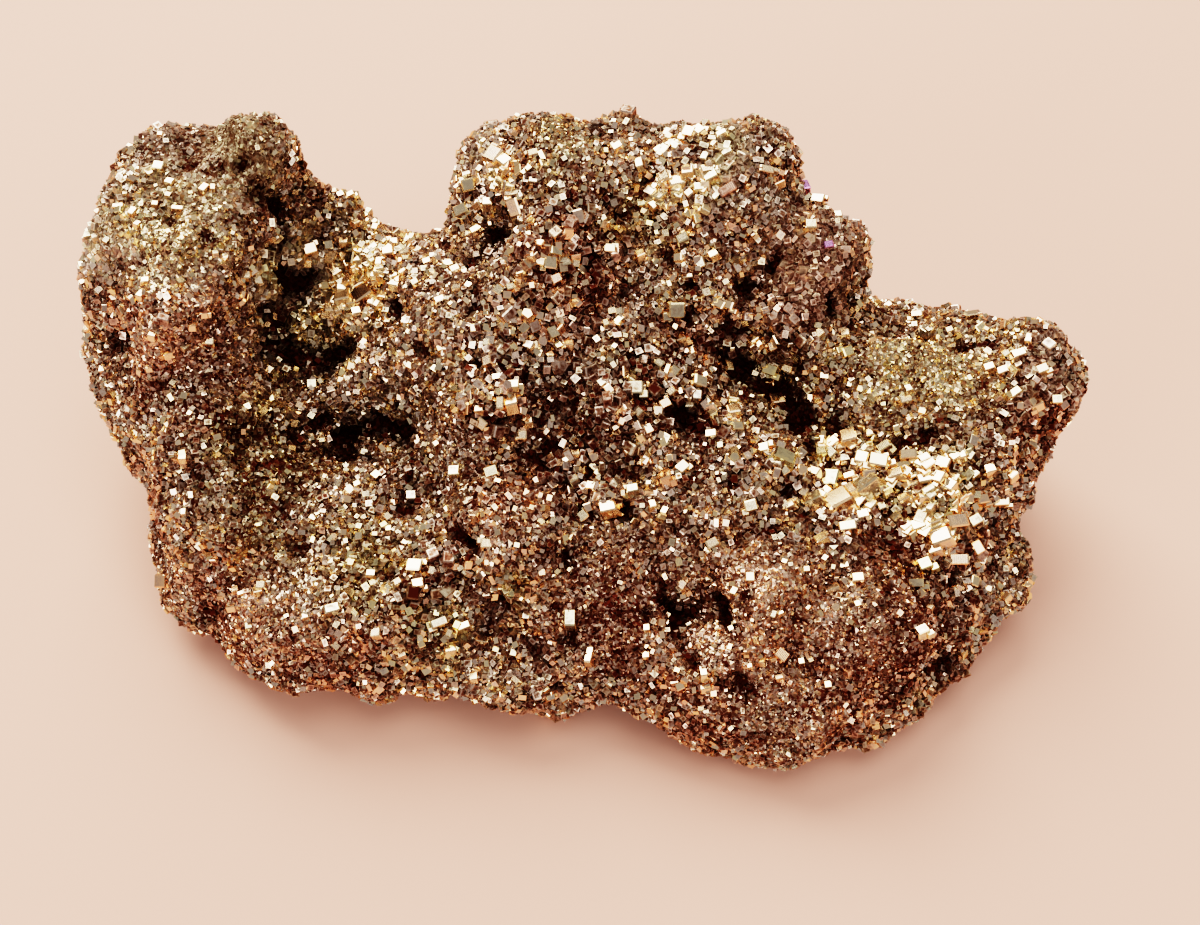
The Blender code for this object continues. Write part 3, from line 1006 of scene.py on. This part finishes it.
# %% Masks that say where each crust grows
SMALLEST, LARGEST = 0.72, 1.15     # how a crystal's size changes from sandy to blocky ground
MISSING_IN_PITS = 0.9              # the share of its crystals that a bare pit loses
THIN_FROM, THINNEST = 0.25, 0.15   # crystals thin out from this crevice value, to this share
SAND_LOSS, SAND_LOSS_MEDIUM, SAND_LOSS_BEHIND = 0.65, 0.85, 0.75     # of the cubes, on sand
MEDIUM_ON, LARGE_ON, LARGE_ON_BEHIND = (1.0, 0.10), (1.2, -0.3), (0.7, 0)
LARGE_SHARE = 0.5


def on_blocky(gain, offset):
    """A share that follows the blocky mask, times the gain and plus the offset."""
    return np.clip(blocky * gain + offset, 0, 1)


sandy, blocky = masks["sandy"], masks["blocky"]
clear = 1 - MISSING_IN_PITS * masks["bare"]
open_ground = np.clip(1 + THIN_FROM - masks["crevice"], THINNEST, 1) * clear
growing = {
    "coarse": 1 + (SMALLEST - 1) * sandy * (1 - blocky) + (LARGEST - 1) * blocky,
    "grow_sand": seen * sandy * (1 - blocky) * clear,
    "grow_fine": seen * clear,
    "grow_cubes": seen * open_ground * (1 - SAND_LOSS * sandy * (1 - blocky)),
    "grow_medium": seen * open_ground * on_blocky(*MEDIUM_ON) * (1 - SAND_LOSS_MEDIUM * sandy),
    "grow_large": seen * open_ground * on_blocky(*LARGE_ON) * LARGE_SHARE,
    "grow_behind": 1 - seen,
    "grow_cubes_behind": (1 - seen) * (1 - SAND_LOSS_BEHIND * sandy * (1 - blocky)),
    "grow_large_behind": (1 - seen) * on_blocky(*LARGE_ON_BEHIND),
}
for name, values in growing.items():
    store(mass.data, name, values)
print("masks:", ", ".join(growing))

# %% Grow every crust
ANY_WAY, LEANING = math.pi, 0.9    # how far crystals turn away from the ground, in radians
# The pieces and their forms, then the mask and the material, the spacing and the size in
# millimetres, the spread of the sizes, the unevenness of the sides, the turn and the seed.
CRUSTS = (
    ({"sand": "corner"}, "grow_sand", GRAINS, 0.235, 0.29, 0.3, 0.15, LEANING, 9),
    ({"fine_grains_1": "corner", "fine_grains_2": "shard", "fine_grains_3": "corner"},
     "grow_fine", GRAINS, 0.31, 0.36, 0.4, 0.3, LEANING, 1),
    ({"small_cubes": "cube", "small_wedges": "wedge"},
     "grow_cubes", SMALL_CUBES, 0.46, 0.40, 0.40, 0.3, ANY_WAY, 2),
    ({"medium_worn_cubes": "worn_cube", "medium_worn_wedges": "worn_wedge"},
     "grow_medium", CUBES, 0.78, 0.56, 0.35, 0.25, ANY_WAY, 3),
    ({"fine_grains_behind_1": "shard", "fine_grains_behind_2": "shard"},
     "grow_behind", GRAINS, 0.40, 0.42, 0.4, 0.25, LEANING, 6),
    ({"large_blocks": "worn_block"}, "grow_large", CUBES, 1.9, 0.85, 0.3, 0.1, ANY_WAY, 4),
    ({"large_pyritohedra": "pyritohedron"},
     "grow_large", CUBES, 2.1, 0.7, 0.3, 0.1, ANY_WAY, 5),
    ({"small_cubes_behind": "wedge"},
     "grow_cubes_behind", SMALL_CUBES, 0.66, 0.52, 0.40, 0.3, ANY_WAY, 7),
    ({"medium_cubes_behind": "worn_cube"},
     "grow_large_behind", CUBES, 1.2, 0.75, 0.35, 0.25, ANY_WAY, 8),
)

crusts = [grow(name, form, share, len(forms), *settings)
          for forms, *settings in CRUSTS for share, (name, form) in enumerate(forms.items())]
for name in growing:
    mass.data.attributes.remove(mass.data.attributes[name])

# %% [markdown]
# ## The crystals that catch the eye
#
# Near two hundred crystals are large or bright enough to be known by sight, and they are
# placed one by one, as a place in the view, a length, a width, a turn and a finish. A white
# one is turned so that one face throws the window's light at the viewer, as a mirror would:
# the face points halfway between the two. The others lie flatter to the ground they grow on.

# %% Where the large crystals are
# x, y, length and width in millimetres, turn in degrees, finish
LARGE = {
    "band": (
        (848, 440, 1.6, 1.5, 5, "white"), (833, 444, 1.2, .9, 40, "white"),
        (820, 454, 1.1, 1.0, 0, "olive"), (783, 461, 2.0, 1.3, -25, "olive"),
        (765, 450, 1.2, .9, 0, "cream"), (878, 463, 1.8, 1.4, -15, "cream"),
        (885, 449, 1.4, .9, 20, "tan"), (897, 477, 1.6, 1.1, 5, "white"),
        (870, 487, 2.7, 1.6, 30, "tan"), (840, 505, 2.6, 1.8, 30, "white"),
        (832, 481, 1.7, 1.6, -20, "olive"), (814, 474, .9, 1.2, 70, "white"),
        (910, 456, 1.7, 1.0, 0, "cream"), (943, 465, 1.3, 1.1, -30, "white"),
        (955, 523, 1.9, 1.4, 10, "pink"), (943, 540, 1.8, 1.7, 10, "pink"),
        (925, 481, 1.3, .9, 10, "cream"), (954, 510, 1.0, .8, -20, "white"),
        (975, 521, 1.2, 1.1, 30, "tan"), (981, 500, 1.1, 1.0, 15, "pink"),
        (815, 501, 1.6, 1.1, 10, "tan"), (848, 528, 1.5, .9, 5, "cream"),
        (822, 541, 1.2, .9, 35, "cream"), (1000, 503, 1.5, .7, 0, "cream"),
        (790, 506, 1.1, .8, 20, "white"), (750, 505, 1.2, 1.1, 15, "tan"),
        (1012, 476, 1.0, .9, 40, "white"), (990, 471, 1.0, .9, 10, "white"),
        (906, 500, 1.2, .9, 15, "cream"), (925, 566, 1.4, 1.1, 20, "olive"),
        (958, 560, 1.6, 1.1, 0, "pink"), (916, 583, 1.5, .8, 0, "tan"),
    ),
    "wing": (
        (1037, 405, 1.1, 1.0, 15, "white"), (1018, 357, 1.5, .8, 15, "white"),
        (990, 369, .9, .8, 5, "white"), (1042, 370, 1.1, .8, 20, "cream"),
        (1056, 400, 1.0, .9, 0, "tan"), (970, 318, 1.3, .8, 20, "cream"),
        (1006, 598, .9, .8, 60, "white"), (905, 401, 1.2, .7, 15, "cream"),
        (916, 316, 1.2, .7, 0, "cream"), (1005, 372, 1.1, .8, 0, "pink"),
    ),
    "step": (
        (772, 370, 1.4, 1.0, -20, "olive"), (770, 383, .9, .5, -20, "white"),
        (776, 402, 1.3, 1.2, 20, "pink"), (817, 399, .7, .6, 0, "white"),
        (754, 341, 1.2, .9, 40, "cream"), (845, 335, .9, .8, 0, "white"),
        (846, 352, 1.1, .9, 20, "olive"), (733, 413, 1.3, 1.1, 15, "cream"),
        (733, 400, 1.1, .9, 0, "tan"), (736, 428, 1.2, .9, 10, "tan"),
        (712, 435, 1.0, .7, 0, "cream"), (727, 366, .8, 1.3, 10, "tan"),
    ),
    "centre": (
        (512, 404, 1.2, 1.6, 10, "white"), (501, 404, .7, 1.1, 0, "cream"),
        (513, 387, 1.0, .8, 0, "cream"), (480, 411, .9, .7, 0, "white"),
        (528, 423, .8, .8, 10, "white"), (521, 436, 1.0, .9, 0, "cream"),
        (610, 510, 1.8, 1.1, 10, "white"), (591, 487, .9, .8, -20, "white"),
        (588, 506, .9, .8, 20, "pink"), (583, 516, 1.1, .9, 40, "tan"),
        (667, 480, 1.1, 1.4, 5, "orange"), (682, 468, 1.1, .9, 45, "cream"),
        (645, 460, 1.0, .7, 10, "white"), (576, 455, .9, .7, 0, "white"),
        (565, 463, .9, .6, 40, "cream"), (632, 491, 1.1, .9, 10, "tan"),
        (652, 506, .7, .9, 20, "white"), (668, 372, .5, 1.2, -20, "white"),
        (664, 404, 1.1, .9, 30, "pink"), (673, 392, .9, .7, 40, "cream"),
        (704, 377, .9, .5, 20, "white"), (682, 340, 1.1, 1.0, 20, "white"),
        (568, 346, 1.0, .7, 0, "cream"), (535, 347, .9, .8, 10, "cream"),
        (552, 334, 1.0, 1.1, 30, "tan"), (489, 363, .9, 1.0, 10, "pink"),
        (472, 371, .9, .8, 0, "pink"), (607, 400, .8, 1.3, 10, "brown"),
        (636, 390, 1.4, 1.2, 0, "tan"), (712, 545, 1.2, .9, 30, "cream"),
        (575, 303, .7, .5, 0, "white"), (675, 308, 1.6, 1.6, 0, "tan"),
        (456, 473, 1.1, 1.0, 0, "tan"), (490, 472, 1.3, 1.0, 20, "tan"),
        (728, 305, 1.4, .9, -20, "cream"), (714, 256, 1.0, .8, 30, "white"),
    ),
    "crown": (
        (497, 159, 1.9, 1.7, -35, "pink"), (470, 186, 1.4, 1.3, 10, "tan"),
        (500, 185, 1.0, .7, 10, "white"), (488, 205, 1.1, 1.0, 0, "cream"),
        (463, 211, 1.3, 1.0, 20, "tan"), (476, 231, 1.1, .6, 30, "cream"),
        (548, 264, 1.2, 1.1, 0, "tan"), (563, 264, 1.1, 1.0, 20, "tan"),
        (553, 252, 1.2, .8, 0, "tan"), (531, 257, .7, .8, 0, "white"),
        (609, 250, 1.1, .8, 0, "cream"), (680, 258, .9, .8, 0, "cream"),
        (702, 262, .9, 1.0, 20, "tan"), (688, 277, 1.1, .8, 0, "cream"),
        (676, 185, 1.5, 1.2, 20, "cream"), (640, 165, .8, 1.1, 10, "cream"),
        (728, 191, 1.7, .9, 30, "rust"), (628, 115, 1.2, 1.4, -30, "brown"),
        (618, 148, .9, .8, 30, "white"), (706, 172, 1.3, .8, 20, "cream"),
        (766, 172, 1.4, .7, -10, "cream"), (778, 184, 1.1, .8, 30, "white"),
        (720, 305, 1.2, .8, -30, "cream"), (640, 256, .8, .9, 30, "white"),
        (683, 240, 1.1, 1.0, 20, "tan"), (810, 227, 1.0, 1.1, 0, "cream"),
        (838, 216, .9, .8, 0, "cream"), (818, 201, 1.2, .8, -20, "cream"),
        (805, 188, .8, 1.1, 15, "violet"), (828, 246, 1.0, .7, 15, "violet"),
    ),
    "saddle": (
        (344, 300, 1.6, 1.5, 5, "cream"), (365, 296, 1.9, 1.4, 35, "pink"),
        (355, 266, 1.2, 1.2, 30, "white"), (346, 257, .9, .8, 30, "white"),
        (332, 260, .9, 1.3, -20, "cream"), (381, 277, 1.3, .9, 10, "white"),
        (388, 254, 1.2, 1.0, 10, "white"), (310, 250, 1.3, 1.1, 20, "pink"),
        (345, 243, .9, .7, 0, "white"), (367, 262, .8, .8, 0, "cream"),
        (360, 285, 1.1, .9, 40, "cream"), (329, 245, 1.0, .8, 10, "tan"),
        (405, 255, 1.0, .6, 10, "cream"), (456, 272, 1.0, .9, 30, "cream"),
        (440, 302, 1.0, .7, 30, "cream"), (457, 290, .9, .7, 0, "cream"),
    ),
    "tower": (
        (160, 168, 1.0, .8, -10, "tan"), (160, 135, .5, .4, 0, "white"),
        (204, 190, .6, 1.0, -30, "white"), (170, 184, .8, .7, -20, "cream"),
        (118, 208, 1.0, .4, 0, "white"), (155, 205, .6, .5, 0, "white"),
        (178, 210, 1.0, .4, 0, "white"), (245, 277, .9, .7, 10, "cream"),
        (133, 210, .5, .4, 0, "white"), (226, 258, .5, .4, 0, "white"),
        (262, 371, .7, .9, -10, "pink"), (183, 459, .7, .7, 10, "white"),
        (312, 436, .4, .4, 0, "white"), (275, 482, .8, .3, 0, "white"),
        (210, 343, .8, .6, 0, "cream"), (275, 498, .8, .6, -30, "tan"),
        (360, 537, .8, .7, 0, "tan"), (320, 525, .4, .4, 30, "white"),
        (164, 320, 1.1, .7, -10, "brown"), (250, 312, .5, .4, 30, "white"),
    ),
    "front": (
        (415, 568, 1.4, 1.2, -10, "cream"), (418, 586, 1.1, .9, 20, "white"),
        (449, 560, 1.0, 1.1, 0, "brown"), (433, 556, 1.0, 1.0, 30, "brown"),
        (487, 545, 1.1, .8, 0, "cream"), (440, 624, 1.5, .7, 25, "tan"),
        (464, 628, 1.3, .6, 25, "cream"), (332, 611, 1.4, .9, 20, "tan"),
        (370, 576, .9, .8, 0, "cream"), (262, 586, .8, .7, 0, "cream"),
        (165, 581, 1.3, 1.2, 0, "orange"), (377, 634, .9, .8, 0, "cream"),
        (480, 641, 1.1, .7, 0, "cream"), (450, 651, 1.0, .7, 20, "cream"),
        (474, 678, .7, .9, 10, "white"), (590, 657, .7, 1.5, -15, "cream"),
        (703, 674, .7, 1.2, 10, "cream"), (706, 689, .9, .6, 0, "white"),
        (681, 687, .8, .8, 20, "cream"), (646, 656, .6, .6, 0, "white"),
        (647, 629, .6, .7, 0, "cream"), (780, 655, 1.1, 1.0, -40, "orange"),
        (858, 580, 1.1, 1.0, 0, "white"), (834, 591, 1.2, .8, 10, "cream"),
        (922, 633, 1.1, 1.0, 30, "tan"), (828, 686, .6, .7, 0, "white"),
        (750, 578, .9, .8, 0, "cream"), (570, 620, 1.0, 1.6, 0, "tan"),
    ),
}
FINISHES = {                   # tone, then how bright (a painted light), rusty, olive and violet
    "white": (1.0, 1.0, 0, 0, 0), "cream": (0.9, 0.6, 0, 0, 0), "tan": (0.62, 0.2, 0, 0, 0),
    "pink": (0.8, 0.3, 0.55, 0, 0), "orange": (0.95, 0.5, 1.0, 0, 0),
    "olive": (0.7, 0.2, 0, 0.8, 0), "brown": (0.3, 0, 0.8, 0, 0), "rust": (0.45, 0, 1.3, 0, 0),
    "violet": (0.9, 0.4, 0, 0, 1.0),
}
FLASH = {"white": (1.0, 0.13), "cream": (0.80, 0.26)}     # share of the mirror's angle, stray
DEFAULT_FLASH = (0.45, 0.40)   # of all the other finishes
print(sum(map(len, LARGE.values())), "crystals in the list")

# %% One large crystal
BURIED = 0.30                  # the share of its depth by which a large crystal is sunk
DEPTH = 0.45                   # of its length and width together
TOP, TOP_LEAN = (0.78, 1.0), 0.15      # its top's size, each way, and how far it leans at most
WITH_TWIN = 1.0                # a crystal longer than this, in millimetres, has a twin
TWIN_SIZE = (0.45, 0.65)       # a twin's size, and its place, as shares of the crystal's size
TWIN_ASIDE, TWIN_BELOW = (0.45, 0.4), -0.1
BLOCK_SEED, LARGE_SEED = 11, 12
LAYERS = ("tone", "bright", "rusty", "olive", "violet")
IN_THE_OPEN = -0.5             # the crevice value of what stands clear of the ground


def mirror_normal(place):
    """The way a face points when it throws the window's light at the viewer."""
    to_camera = (camera.location - place).normalized()
    to_window = (WINDOW - place).normalized()
    return (to_camera + to_window).normalized()


def wobbled(facing, amount, draw):
    """A direction turned a little at random."""
    wobble = Vector([draw.uniform(-1, 1) for _ in range(3)])
    return (facing + wobble * amount).normalized()


def add_crystal(builder, place, facing, turn, long, wide, finish, draw):
    """One crystal with its top facing one way, and its twin if it is long enough."""
    across = CAMERA_TURN @ Vector(
        (math.cos(math.radians(turn)), math.sin(math.radians(turn)), 0))
    side = (across - across.dot(facing) * facing).normalized()
    turned = Matrix((side, facing.cross(side), facing)).transposed()
    deep = (long + wide) * DEPTH
    middle = place + facing * deep * (0.5 - BURIED) * MM * 0.5
    fitted = (Matrix.Translation(middle) @ turned.to_4x4()
              @ Matrix.Diagonal((long * MM, wide * MM, deep * MM, 1)))
    taper = (draw.uniform(*TOP), draw.uniform(*TOP))
    lean = draw.uniform(-TOP_LEAN, TOP_LEAN)
    blocks = [(1.0, Vector((0, 0, 0)))]
    if long > WITH_TWIN:
        twin = draw.uniform(*TWIN_SIZE)
        aside = [draw.choice((-reach, reach)) for reach in TWIN_ASIDE]
        blocks.append((twin, Vector((*aside, TWIN_BELOW))))
    for size, aside in blocks:
        known = len(builder.verts)
        builder.from_mesh(FORMS["worn_cube"].data)
        for vertex in list(builder.verts)[known:]:
            vertex.co = fitted @ (aside + skewed(vertex.co, taper, lean) * size)
            for layer, value in zip(LAYERS, FINISHES[finish]):
                vertex[builder.verts.layers.float[layer]] = value
            vertex[builder.verts.layers.float["crevice"]] = IN_THE_OPEN


# %% Place the large crystals
def crystal_piece(name, crystals):
    """Crystals, each as place, facing, turn, length, width and finish, as one mesh."""
    draw = random.Random(BLOCK_SEED)
    builder = bmesh.new()
    for layer in LAYERS + ("crevice",):
        builder.verts.layers.float.new(layer)
    for crystal in crystals:
        add_crystal(builder, *crystal, draw)
    mesh = finished(builder, name)
    mesh.materials.append(CUBES)
    print(name, len(crystals), "crystals,", triangle_count(mesh), "triangles")
    return new_object(name, mesh)


def listed_crystals():
    """The crystals of the list."""
    draw = random.Random(LARGE_SEED)
    tree = surface_tree(mass.data)
    found = []
    for crystals in LARGE.values():
        for x, y, long, wide, turn, finish in crystals:
            place, ground = seen_at(tree, x, y)
            flash, off = FLASH.get(finish, DEFAULT_FLASH)
            facing = (ground * (1 - flash) + mirror_normal(place) * flash).normalized()
            found.append((place, wobbled(facing, off, draw), turn, long, wide, finish))
    return found


crusts.append(crystal_piece("large_crystals", listed_crystals()))

# %% [markdown]
# ## Crystals that flash together
#
# In a good band of pyrite neighbouring cubes lie nearly parallel, so many flash at once. A
# share of the bright blocky ground is strewn with crystals whose faces are all close to the
# mirror's angle. Only the ground that the window lights is used, by a draw weighted with
# the masks.

# %% Strew the flashing crystals
FLASHING = 370
FLASHING_SEED = 13
FLASH_LENGTH = (0.45, 1.0)     # millimetres
FLASH_LONGER = (0.8, 0.5)      # times that length: anywhere, and more on blocky ground
FLASH_WIDTH = (0.5, 1)         # of its length
FLASH_OFF = 0.22               # how far their faces stray from the mirror's angle, in radians
FLASH_FINISHES = ("white", "cream", "cream", "tan", "tan")
OFF_BLOCKY = 0.06              # the weight of bright ground that isn't blocky
SQUARE = 90                    # degrees after which a square crystal looks the same


def flashing_crystals(count):
    """A draw of places on bright blocky ground, each with a crystal near the mirror's angle."""
    draw = random.Random(FLASHING_SEED)
    weight = seen * masks["bright"] * (OFF_BLOCKY + blocky) * np.clip(1 - masks["crevice"], 0, 1)
    chosen = draw.choices(range(len(places)), weight.tolist(), k=count)
    found = []
    for index in chosen:
        place = Vector(places[index].tolist())
        base, more = FLASH_LONGER
        long = draw.uniform(*FLASH_LENGTH) * (base + more * float(blocky[index]))
        finish = draw.choice(FLASH_FINISHES)
        facing = wobbled(mirror_normal(place), FLASH_OFF, draw)
        turn = draw.uniform(0, SQUARE)
        found.append((place, facing, turn, long, long * draw.uniform(*FLASH_WIDTH), finish))
    return found


crusts.append(crystal_piece("flashing_crystals", flashing_crystals(FLASHING)))

# %% [markdown]
# ## A map to carry the finish
#
# The finish is worked out from sums, which other programs can't run, so it has to be drawn
# on an image when the model leaves Blender. Thousands of small crystals unwrap badly, with
# more gap than crystal, so every face gets its own square on one even grid.

# %% One square of the map for every face
MAP_PIXELS = 1024
MAP_GAP = 0.3                  # pixels between a face and the edge of its square
NO_LENGTH, NO_WIDTH = 1e-12, 1e-9      # what a side or a face of no size is taken for


def squares_map(mesh):
    """Lay every face, stretched to fill it, in its own square."""
    faces = len(mesh.polygons)
    first = numbers(mesh.polygons, "loop_start", np.int32)
    face = np.repeat(np.arange(faces), numbers(mesh.polygons, "loop_total", np.int32))
    corner = vertex_places(mesh)[numbers(mesh.loops, "vertex_index", np.int32)]
    side = corner[first + 1] - corner[first]
    side /= np.maximum(np.linalg.norm(side, axis=1), NO_LENGTH)[:, None]
    up = np.cross(numbers(mesh.polygons, "normal", np.float32, 3), side)
    flat = np.stack([(corner * axis[face]).sum(1) for axis in (side, up)], 1)
    low, high = np.minimum.reduceat(flat, first), np.maximum.reduceat(flat, first)
    share = (flat - low[face]) / np.maximum(high - low, NO_WIDTH)[face]
    across = math.ceil(math.sqrt(faces))
    square = MAP_PIXELS // across
    start = np.stack([np.arange(faces) % across, np.arange(faces) // across], 1) * square
    uv = (start[face] + MAP_GAP + share * (square - 2 * MAP_GAP)) / MAP_PIXELS
    layer = mesh.uv_layers.new(name="OFBake", do_init=False)
    layer.uv.foreach_set("vector", uv.astype(np.float32).ravel())
    return square


for piece in [mass] + crusts:
    print(piece.name, "has squares of", squares_map(piece.data), "pixels")

# %% [markdown]
# ## Floor and light
#
# Metal shows its surroundings, so the light decides how the crystals look. One broad window
# above and behind gives the flashes, the bright tops and the soft shadow. A ceiling lamp and
# two weaker ones at the sides keep the other faces from going black. The floor is plain and
# pale, and it lights the lower faces.

# %% Floor
FLOOR_SIZE = 1.6
FLOOR_COLOUR = (0.72, 0.42, 0.345, 1)
FLOOR_ROUGHNESS = 0.9


def floor_material():
    """Plain pale card."""
    material = bpy.data.materials.new("floor")
    material.use_nodes = True
    shader = material.node_tree.nodes["Principled BSDF"]
    shader.inputs["Base Color"].default_value = FLOOR_COLOUR
    shader.inputs["Roughness"].default_value = FLOOR_ROUGHNESS
    return material


builder = bmesh.new()
bmesh.ops.create_grid(builder, x_segments=1, y_segments=1, size=FLOOR_SIZE / 2)
floor_mesh = finished(builder, "floor")
floor_mesh.materials.append(floor_material())
floor = new_object("floor", floor_mesh)
print("floor:", FLOOR_SIZE, "m square")

# %% Lights
SURROUNDINGS = (1.0, 0.91, 0.86, 1)
SURROUNDINGS_STRENGTH = 0.29
EXPOSURE = 0.44

for name, (_, _, size, brightness, colour) in LAMPS.items():
    data = bpy.data.lights.new(name, "AREA")
    data.shape = "DISK"
    data.size = size
    data.energy = brightness * math.pi * math.pi * (size / 2) ** 2    # pi times the disc's area
    data.color = colour
    light = bpy.data.objects.new(name, data)
    light.location = lamp_place(name)
    light.rotation_euler = (-light.location).to_track_quat("-Z", "Y").to_euler()
    bpy.context.scene.collection.objects.link(light)

world = bpy.data.worlds.new("studio")
bpy.context.scene.world = world
world.use_nodes = True
backdrop = world.node_tree.nodes["Background"]
backdrop.inputs["Color"].default_value = SURROUNDINGS
backdrop.inputs["Strength"].default_value = SURROUNDINGS_STRENGTH
view = bpy.context.scene.view_settings
view.view_transform = "Filmic"
view.look = "Very High Contrast"
view.exposure = EXPOSURE
print("lamps:", ", ".join(LAMPS))

# %% Hand the pieces over
for piece in [mass] + crusts:
    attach(piece, "root")
    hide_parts("pyrite_cluster")
print(1 + len(crusts), "pieces")
